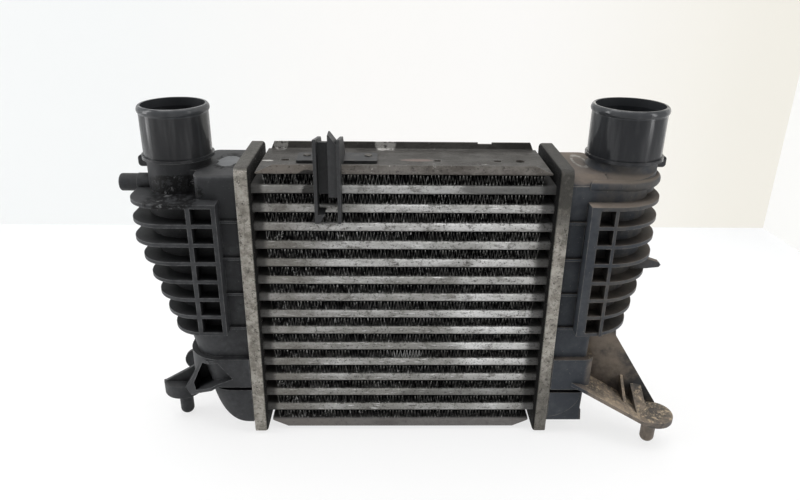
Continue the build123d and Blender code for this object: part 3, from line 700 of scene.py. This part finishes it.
headerLook = {
    "fixed": {"Specular IOR Level": 0.16},
    "noise": {
        "blotch": {"size": 9 * mm, "detail": 5, "roughness": 0.7},
        "pits": {"size": 1.9 * mm, "detail": 5, "roughness": 0.75},
        "fleck": {"size": 1.1 * mm, "detail": 3, "roughness": 0.6},
        "stains": {"size": 30 * mm, "detail": 4, "roughness": 0.7},
    },
    "rim radius": 0.8 * mm,
    "metal": (128, 124, 116),
    "pale": {"tone": (178, 174, 166), "span": (0.35, 0.65)},
    "pit": {"tone": (66, 63, 58), "span": (0.52, 0.64), "share": 0.85},
    "stain": {"tone": (56, 53, 48), "span": (0.58, 0.72), "share": 0.6},
    "bright fleck": (0.6, 0.7),
    "bare by fleck, rim": (0, 0.7, 0.45),
    "bare": {"tone": (216, 213, 207)},
    "right of": (-10 * mm, 10 * mm),
    "top of right": (-45 * mm, -5 * mm),
    "foot of right": (-120 * mm, -165 * mm),
    "dark by top, foot": (0, 0.95, 0.6),
    "dark": {"tone": (62, 61, 58), "span": (0.2, 0.5)},
    "upward": (0.4, 0.9),
    "top": {"tone": (70, 69, 67), "share": 0.85},
    "to the core": (0.4, 0.8),
    "grime_and_painted_shade": {"tone": (7, 7, 7), "share": 0.98},
    "clean fleck": (0.66, 0.74),
    "grime and painted shade by fleck": (1, -0.6),
    "rough by pits, grime and painted shade": (0.5, 0.3, 0.2),
    "bare metal": 0.4,
    "pitted": (0.5, 0.65),
    "height by pits, fleck": (0, 0.7, 0.3),
    "height": 0.8 * mm,
}


def headerMetal(look):
    material, place = newMaterial("header_metal", look["fixed"])
    x, _, z = fromCore(place)
    blotch, pits, fleck, stains = grains(place, look)
    base = cover(colour(*look["metal"]), look["pale"], blotch)
    base = cover(base, look["pit"], pits)
    base = cover(base, look["stain"], stains)
    # worn flecks and sharp edges are painted bare: wear, and on the edges also painted highlight
    rim = edges(place, look["rim radius"])
    bare = mixed(look["bare by fleck, rim"], fleck.rise(*look["bright fleck"]), rim).lesser(1)
    base = cover(base, look["bare"], where=bare)
    right = x.rise(*look["right of"])
    top, foot = z.rise(*look["top of right"]), z.rise(*look["foot of right"])
    base = cover(base, look["dark"], blotch, right * mixed(look["dark by top, foot"], top, foot))
    base = cover(base, look["top"], where=facing(place, "Z").rise(*look["upward"]))
    toCore = facing(place, "X") * (1 - 2 * right)  # right of the left header, left of the other
    clean = fleck.rise(*look["clean fleck"])
    # faces towards the core are painted near black: grime and painted shade, except at clean flecks
    grime_and_painted_shade = toCore.rise(*look["to the core"]) * mixed(look["grime and painted shade by fleck"], clean)
    base = cover(base, look["grime_and_painted_shade"], where=grime_and_painted_shade)
    rough = mixed(look["rough by pits, grime and painted shade"], pits, grime_and_painted_shade)
    metal = look["bare metal"] * (1 - pits.rise(*look["pitted"])) * (1 - grime_and_painted_shade)
    height = mixed(look["height by pits, fleck"], pits, fleck)
    return finishMaterial(material, base, rough, metal, height=height, depth=look["height"])


plateLook = {
    "noise": {
        "blotch": {"size": 12 * mm, "detail": 5, "roughness": 0.7, "stretch": (0.5, 1, 1)},
        "pits": {"size": 2.2 * mm, "detail": 5, "roughness": 0.75},
        "fine": {"size": 4.5 * mm, "detail": 5, "roughness": 0.8},
        "scratches": {"size": 1.2 * mm, "detail": 3, "roughness": 0.7, "stretch": (0.1, 1, 1)},
    },
    "rim radius": 0.6 * mm,
    "upward": (0.6, 0.9),
    "forward": (-0.6, -0.9),
    "metal": (86, 81, 76),
    "pale": {"tone": (116, 112, 107), "span": (0.35, 0.65)},
    "left of": (-20 * mm, -60 * mm),
    "left front": {"tone": (124, 117, 109), "share": 0.8},
    "pit": {"tone": (50, 47, 44), "span": (0.54, 0.66), "share": 0.8},
    "bright middle": {"centre": (5, 10), "reach": (45, 20)},
    "shine by middle": (0.35, 0.65),
    "shine by upward": (1, -0.6),
    "shine": {"tone": (204, 202, 198), "span": (0.6, 0.68), "share": 0.75},
    "web": {"tone": (54, 53, 51), "share": 0.8},
    "slot mark": {
        "centre": (-96, -2), "reach": (4, 1.6), "ragged": 1,
        "tone": (196, 194, 190), "share": 0.8,
    },
    "rust": {
        "centre": (10, 1), "reach": (12, 3), "ragged": 2, "shrunk": 0.1,
        "tone": (120, 104, 98), "share": 0.7,
    },
    "scratch": {
        "centre": (40, -8), "reach": (20, 6),
        "tone": (190, 188, 184), "span": (0.62, 0.68),
    },
    "bottom below": (-170 * mm, -180 * mm),
    "bottom share by blotch": (0.3, 0.5),
    "bottom": {"tone": (112, 110, 109)},
    "back from": (24 * mm, 29 * mm),
    "back": {"tone": (52, 51, 50), "share": 0.8},
    "scrape right": {"centre": (-13, 16), "reach": (8, 7), "ragged": 2},
    "scrape left": {"centre": (-91, 16), "reach": (6, 5), "ragged": 3},
    "scrape": {"tone": (196, 194, 190), "span": (0.4, 0.55), "share": 0.85},
    "front from": (-20 * mm, -28 * mm),
    "grime_and_painted_clip_shadow": {
        "centre": (-64, 8), "reach": (9, 6), "ragged": 2,
        "tone": (26, 25, 24), "share": 0.9,
    },
    "rim": {"tone": (156, 153, 148), "share": 0.5},
    "rough by pits": (0.48, 0.3),
    "bare metal": 0.4,
    "bare": (0.4, 0.6),
    "height": 0.4 * mm,
}


def plateMetal(look):
    material, place = newMaterial("plate_metal")
    x, y, z = fromCore(place)
    blotch, pits, fine, scratches = grains(place, look)
    upward = facing(place, "Z").rise(*look["upward"])
    forward = facing(place, "Y").rise(*look["forward"])
    base = cover(colour(*look["metal"]), look["pale"], blotch)
    base = cover(base, look["left front"], where=forward * x.rise(*look["left of"]))
    base = cover(base, look["pit"], pits)
    shine = mixed(look["shine by middle"], patch(x, z, look["bright middle"]))
    base = cover(base, look["shine"], fine, shine * mixed(look["shine by upward"], upward))
    base = cover(base, look["web"], where=upward)
    for mark in (look["slot mark"], look["rust"]):
        base = cover(base, mark, where=upward * patch(x, y, mark, fine))
    base = cover(base, look["scratch"], scratches, upward * patch(x, y, look["scratch"]))
    bottom = z.rise(*look["bottom below"]) * mixed(look["bottom share by blotch"], blotch)
    base = cover(base, look["bottom"], where=bottom)
    back = y.rise(*look["back from"])
    base = cover(base, look["back"], where=back * (1 - upward))
    left, right = patch(x, z, look["scrape left"], fine), patch(x, z, look["scrape right"], fine)
    base = cover(base, look["scrape"], fine, back * right.greater(left))
    # a dark patch beside the clip: grime and painted clip shadow
    grime_and_painted_clip_shadow = patch(x, z, look["grime_and_painted_clip_shadow"], blotch) * y.rise(*look["front from"])
    base = cover(base, look["grime_and_painted_clip_shadow"], where=grime_and_painted_clip_shadow)
    base = cover(base, look["rim"], where=edges(place, look["rim radius"]))
    rough = mixed(look["rough by pits"], pits)
    metal = look["bare metal"] * (1 - blotch.rise(*look["bare"]))
    return finishMaterial(material, base, rough, metal, height=pits, depth=look["height"])


finLook = {
    "fixed": {"Specular IOR Level": 0.12},
    "noise": {
        "dirt": {"size": 12 * mm, "detail": 4, "roughness": 0.7},
        "patches": {"size": 4.2 * mm, "detail": 4, "roughness": 0.75},
        "single": {"size": 1.6 * mm, "detail": 2, "roughness": 0.6},
        "torn": {"size": 3.6 * mm, "detail": 1},
    },
    "cut edge": (0.5, 0.8),
    "outermost": (29.2 * mm, 30 * mm),
    "outermost share": 0.25,
    "near a tube": (0.1, 0.22),
    "grime_and_painted_shade": (9, 9, 9),
    "thick grime and painted shade": {"tone": (5, 5, 5), "span": (0.35, 0.6)},
    "metal by tube": (0.4, 0.6),
    "metal": {"tone": (214, 213, 208), "span": (0.4, 0.66)},
    "worn": (0.42, 0.6),
    "left of": (20 * mm, -20 * mm),
    "worn by left": (0.6, 0.4),
    "single": (0.55, 0.63),
    "crushed middle": {"centre": (4, -129.5), "reach": (12, 3.6), "ragged": 1.4},
    "crushed corner": {"centre": (-99.5, 8), "reach": (5, 4), "ragged": 1},
    "crushed share": 0.9,
    "shine": {"tone": (226, 226, 224)},
    "torn left of": (35 * mm, 0),
    "front": (-27.5 * mm, -29 * mm),
    "torn": {"tone": (222, 222, 220), "span": (0.67, 0.72)},
    "rough by dirt": (0.5, 0.3),
    "bare metal": 0.4,
}


def finMetal(look):
    material, place = newMaterial("fin_metal", look["fixed"])
    x, y, z = fromCore(place)
    dirt, patches, single, torn = grains(place, look)
    # cut edges take a bare metal tone; the outermost band of the side faces takes it too, as a
    # painted reflection
    outermost = abs(y).rise(*look["outermost"]) * look["outermost share"]
    edge = abs(facing(place, "Y")).rise(*look["cut edge"]).greater(outermost)
    nearTube = abs((z * (-1 / tubePitch)).fraction() - 0.5).rise(*look["near a tube"])
    # the sheets are painted near black: grime and painted shade deep in the core
    base = cover(colour(*look["grime_and_painted_shade"]), look["thick grime and painted shade"], dirt)
    base = cover(base, look["metal"], patches, edge * mixed(look["metal by tube"], nearTube))
    worn = dirt.rise(*look["worn"]) * mixed(look["worn by left"], x.rise(*look["left of"]))
    middle = patch(x, z, look["crushed middle"], patches)
    crushed = middle.greater(patch(x, z, look["crushed corner"], patches)) * look["crushed share"]
    shine = (single.rise(*look["single"]) * worn).greater(crushed)
    base = cover(base, look["shine"], where=edge * shine)
    front = x.rise(*look["torn left of"]) * y.rise(*look["front"])
    base = cover(base, look["torn"], torn, front)
    rough = mixed(look["rough by dirt"], dirt)
    return finishMaterial(material, base, rough, look["bare metal"] * edge)


foil = finMetal(finLook)
coreMetal = {
    "core_tube": tubeMetal(tubeLook),
    "header": headerMetal(headerLook),
    "side_plate": plateMetal(plateLook),
    "turbulator": foil,
}
for node in nodes:
    for start, metal in coreMetal.items():
        if node.startswith(start):
            dress(node, metal)
print("core metal")


finRow = {
    "rows": 15,
    "pitch": 2.42 * mm,  # of a whole fold, up and down
    "sheet": 0.17 * mm,
    "crest": 0.16,  # share of half a fold that lies flat on the tube
    "deep steps": 6,
    "bent depth": 3 * mm,
    "seed": (3.7, 1.3),
    "bend waves": (90, 5.1),  # along the row, and from row to row
    "ripple waves": 3.3,
    "ripple": 0.6,
    "bent": 0.75 * mm,  # lean of the front and back edges
    "strong bend": 0.55,
    "strong": 1.6,
    "weak": 0.7,
    "push waves": 2.1,
    "push": 0.5 * mm,  # dents of the edges, inwards
    "wander waves": (700, 200),
    "wander": 0.1 * mm,  # unevenness of all folds
    "end gap": 0.1 * mm,
}


def makeFinRow(number, spec):
    node = "air_fin_%02d" % number
    low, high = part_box(node)
    length, depth = high.x - low.x, high.y - low.y
    middle, height = ((low + high) / 2).z, high.z - low.z - spec["sheet"]
    folds, steps = round(length / spec["pitch"]), spec["deep steps"]
    flat = spec["crest"] / 4
    # where a fold bends, from its start to its end
    bends = (flat, 0.5 - flat, 0.5 + flat, 1 - flat)
    # the grid is 1 wide and 1 deep around 0
    form = bmesh.new()
    grid = {"x_segments": len(bends) * folds, "y_segments": steps, "size": 0.5}
    bmesh.ops.create_grid(form, **grid)
    # the outer steps are short, so that only the front and back edges bend
    short = spec["bent depth"] / depth
    inward = {0: 0, 1: short, steps - 1: 1 - short, steps: 1}
    seed = Vector((*(number * share for share in spec["seed"]), 0))
    for vertex in form.verts:
        fold, bend = divmod(round((vertex.co.x + 0.5) * len(bends) * folds), len(bends))
        up = 0.5 if bends[bend] in (bends[0], bends[-1]) else -0.5
        deep = vertex.co.y + 0.5
        row = round(deep * steps)
        x = low.x + min((fold + bends[bend]) / folds, 1) * length
        y = low.y + inward.get(row, deep) * depth
        if row in (0, steps):
            across, along = spec["bend waves"]
            where = Vector((x * across, number * along, row)) + seed
            lean = noise.noise(where) + spec["ripple"] * noise.noise(where * spec["ripple waves"])
            x += lean * spec["bent"] * spec["strong" if abs(lean) > spec["strong bend"] else "weak"]
            push = spec["push"] * abs(noise.noise(where * spec["push waves"]))
            y += push if row == 0 else -push
        across, along = spec["wander waves"]
        x += noise.noise(Vector((x * across, y * along, number))) * spec["wander"]
        x = min(max(x, low.x + spec["end gap"]), high.x - spec["end gap"])
        vertex.co = (x, y, middle + up * height)
    piece = addMesh("fin_row_%02d" % number, form, foil)
    thick = piece.modifiers.new("sheet", "SOLIDIFY")
    thick.thickness = spec["sheet"]
    thick.offset = 0
    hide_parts(node)
    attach(piece, "root")


for number in range(1, finRow["rows"] + 1):
    makeFinRow(number, finRow)
print("fin rows")
